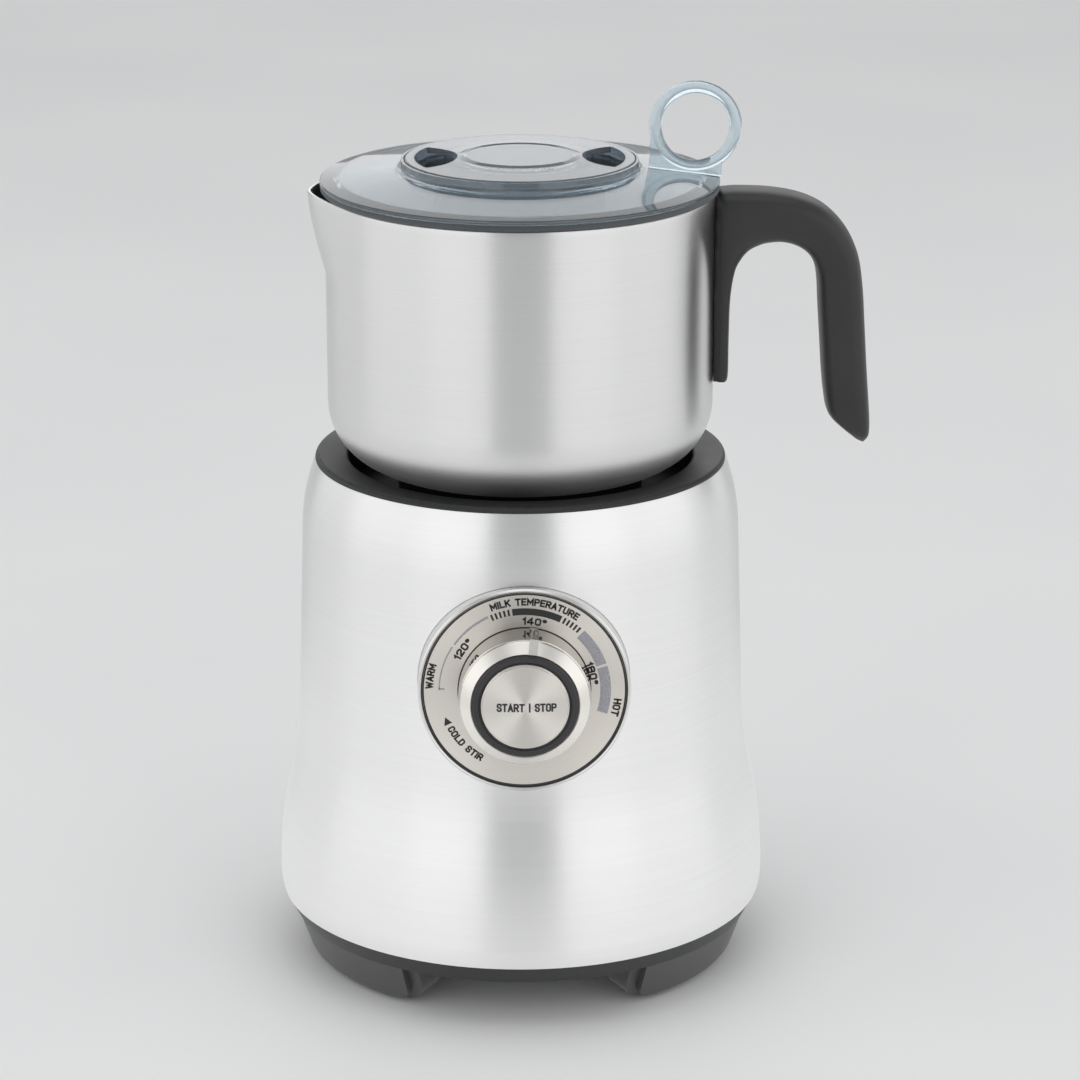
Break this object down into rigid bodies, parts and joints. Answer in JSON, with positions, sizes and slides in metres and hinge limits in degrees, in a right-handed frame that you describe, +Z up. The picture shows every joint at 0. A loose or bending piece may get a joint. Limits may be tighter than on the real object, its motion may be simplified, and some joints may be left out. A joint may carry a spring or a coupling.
{
  "type": "milk frother",
  "caption": "Countertop milk frother: flared brushed-steel induction base with a front dial and start button, lift-off steel jug with hook handle, clear lid with pull ring and measuring cap.",
  "frame": {"origin": "on the surface that the feet stand on, at the upright axis of the base", "axes": "+Z up along the base's axis, +X towards the jug's handle, -Y towards the dial"},
  "size_m": [0.1859, 0.1631, 0.2788],
  "materials": {
    "body_steel": "fine horizontal brushing, satin",
    "jug_steel": "horizontal brushing, satin",
    "black_plastic": "fine moulded grain",
    "foot_plastic": "fine moulded grain",
    "handle_plastic": "soft satin moulding",
    "well_coating": "black heat-proof coating",
    "dial_nickel": "warm satin nickel with printed scale",
    "bezel_chrome": "polished",
    "knob_metal": "polished side, satin chamfer",
    "button_metal": "spun radial brushing",
    "trim_black": "satin black",
    "pointer_silver": "polished",
    "clear_lid": "clear smoke-grey moulded plastic",
    "cap_clear": "smoke-grey moulded plastic",
    "ring_clear": "clear moulded plastic",
    "seal_rubber": "grey silicone",
    "pad_rubber": "black rubber",
    "inner_plastic": "natural moulding",
    "board_green": "solder mask",
    "copper_wire": "enamelled copper",
    "ferrite": "sintered",
    "motor_steel": "zinc-plated",
    "magnet_metal": "nickel-plated",
    "sink_aluminium": "extruded",
    "sleeve_black": "shrink sleeve",
    "relay_blue": "moulded",
    "screw_steel": "zinc-plated",
    "bearing_bronze": "sintered bronze",
    "spring_steel": "music wire"
  },
  "bodies": {
    "power_base": {"steel_body_shell": "body_steel", "top_collar": "black_plastic", "jug_well": "well_coating", "base_band": "black_plastic", "left_foot": "foot_plastic", "right_foot": "foot_plastic", "rubber_feet": "pad_rubber", "bottom_cover": "foot_plastic", "cord_gland": "black_plastic", "cover_screws": "screw_steel", "dial_bezel": "bezel_chrome", "dial_gasket": "trim_black", "dial_plate": "dial_nickel", "dial_encoder": "inner_plastic", "button_switch": "sleeve_black", "control_board": "board_green", "inner_chassis": "inner_plastic", "motor_can": "motor_steel", "motor_bracket": "motor_steel", "motor_screws": "screw_steel", "shaft_bearing": "bearing_bronze", "induction_coil": "copper_wire", "coil_former": "inner_plastic", "ferrite_bars": "ferrite", "sensor_guide": "inner_plastic", "sensor_spring": "spring_steel", "power_board": "board_green", "board_standoffs": "inner_plastic", "capacitors": "sleeve_black", "choke_coil": "copper_wire", "mains_relay": "relay_blue", "heat_sink": "sink_aluminium", "fan_frame": "black_plastic"},
    "temperature_knob": {"knob_ring": "knob_metal", "knob_trim_ring": "trim_black", "knob_hub": "inner_plastic", "knob_pointer": "pointer_silver"},
    "start_stop_button": {"button_cap": "button_metal", "button_stem": "inner_plastic"},
    "sensor_plunger": {"sensor_cap": "sink_aluminium"},
    "drive_rotor": {"drive_shaft": "motor_steel", "magnet_carrier": "inner_plastic", "drive_magnets": "magnet_metal"},
    "fan_rotor": {"fan_impeller": "black_plastic"},
    "jug": {"jug_shell": "jug_steel", "jug_spindle": "jug_steel", "jug_handle": "handle_plastic", "handle_bracket": "handle_plastic", "handle_screws": "screw_steel"},
    "froth_disc": {"froth_carrier": "black_plastic", "froth_magnets": "magnet_metal", "whisk_ring": "jug_steel"},
    "lid": {"lid_panel": "clear_lid", "lid_seal": "seal_rubber", "pull_ring": "ring_clear"},
    "cap": {"measuring_cap": "cap_clear"}
  },
  "joints": [
    {"name": "temperature_dial", "type": "hinge", "parent": "power_base", "child": "temperature_knob", "pos_m": [0, -0.0775, 0.1082], "axis": [0, 1, 0], "range_deg": [-133, 100]},
    {"name": "start_stop_press", "type": "slide", "parent": "power_base", "child": "start_stop_button", "axis": [0, 1, 0], "range_m": [0, 0.0015], "stiffness_N_per_m": 400, "springref_m": -0.0005},
    {"name": "sensor_press", "type": "slide", "parent": "power_base", "child": "sensor_plunger", "axis": [0, 0, 1], "range_m": [-0.002, 0], "stiffness_N_per_m": 300, "springref_m": 0.0005, "deforming": ["sensor_spring"]},
    {"name": "drive_spin", "type": "hinge", "parent": "power_base", "child": "drive_rotor", "pos_m": [0, 0, 0.14], "axis": [0, 0, 1], "continuous": true},
    {"name": "fan_spin", "type": "hinge", "parent": "power_base", "child": "fan_rotor", "pos_m": [0, 0.05, 0.0522], "axis": [0, 1, 0], "continuous": true},
    {"name": "jug_lift", "type": "slide", "parent": "power_base", "child": "jug", "axis": [0, 0, 1], "range_m": [0, 0.13]},
    {"name": "froth_spin", "type": "hinge", "parent": "jug", "child": "froth_disc", "pos_m": [0, 0, 0.168], "axis": [0, 0, 1], "continuous": true},
    {"name": "lid_lift", "type": "slide", "parent": "jug", "child": "lid", "axis": [0, 0, 1], "range_m": [0, 0.06]},
    {"name": "cap_lift", "type": "slide", "parent": "lid", "child": "cap", "axis": [0, 0, 1], "range_m": [0, 0.045]}
  ],
  "couplings": [
    {"joint": "froth_spin", "follows": "drive_spin", "ratio": 1}
  ]
}
